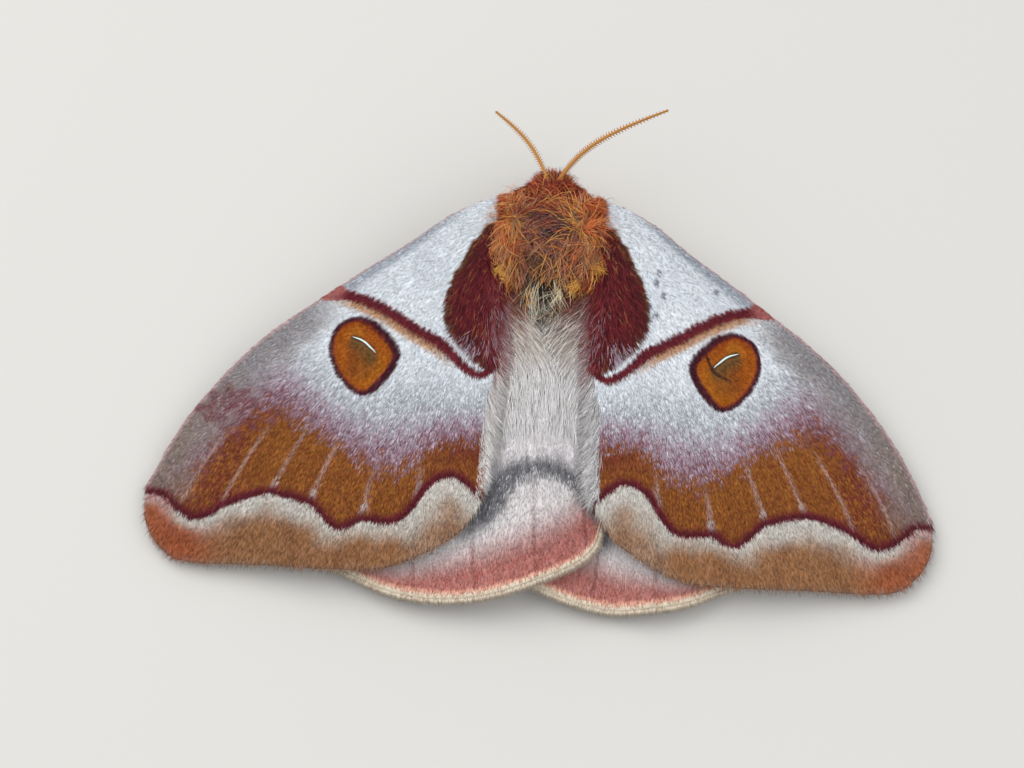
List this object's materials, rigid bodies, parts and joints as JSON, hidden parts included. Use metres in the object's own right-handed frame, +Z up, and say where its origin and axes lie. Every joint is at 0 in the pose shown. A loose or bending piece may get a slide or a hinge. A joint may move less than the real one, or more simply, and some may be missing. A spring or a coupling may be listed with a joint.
{
  "type": "emperor moth",
  "caption": "Life-size resting female emperor moth, white and crimson forewings with eyespots spread as a low roof over pink hindwings",
  "frame": {"origin": "bottom centre of the whole moth's bounding box, on the floor that its feet stand on", "axes": "+X across the spread wings towards the moth's right wing, +Y forward from abdomen to head, +Z up"},
  "size_m": [0.0772, 0.0536, 0.0125],
  "materials": {
    "white_scales": "matte",
    "pink_scales": "matte",
    "rufous_fur": "matte",
    "cream_fur": "matte",
    "leg_fur": "matte",
    "antenna_gold": "matte",
    "eye_black": "gloss"
  },
  "bodies": {
    "root": {"forewing_l": "white_scales", "forewing_r": "white_scales", "hindwing_l": "pink_scales", "hindwing_r": "pink_scales", "thorax": "rufous_fur", "head": "rufous_fur", "eye_l": "eye_black", "eye_r": "eye_black", "palp_l": "rufous_fur", "palp_r": "rufous_fur", "antenna_l": "antenna_gold", "antenna_r": "antenna_gold", "abdomen": "cream_fur", "leg_fore_l": "leg_fur", "leg_fore_r": "leg_fur", "leg_mid_l": "leg_fur", "leg_mid_r": "leg_fur", "leg_hind_l": "leg_fur", "leg_hind_r": "leg_fur"}
  },
  "joints": []
}
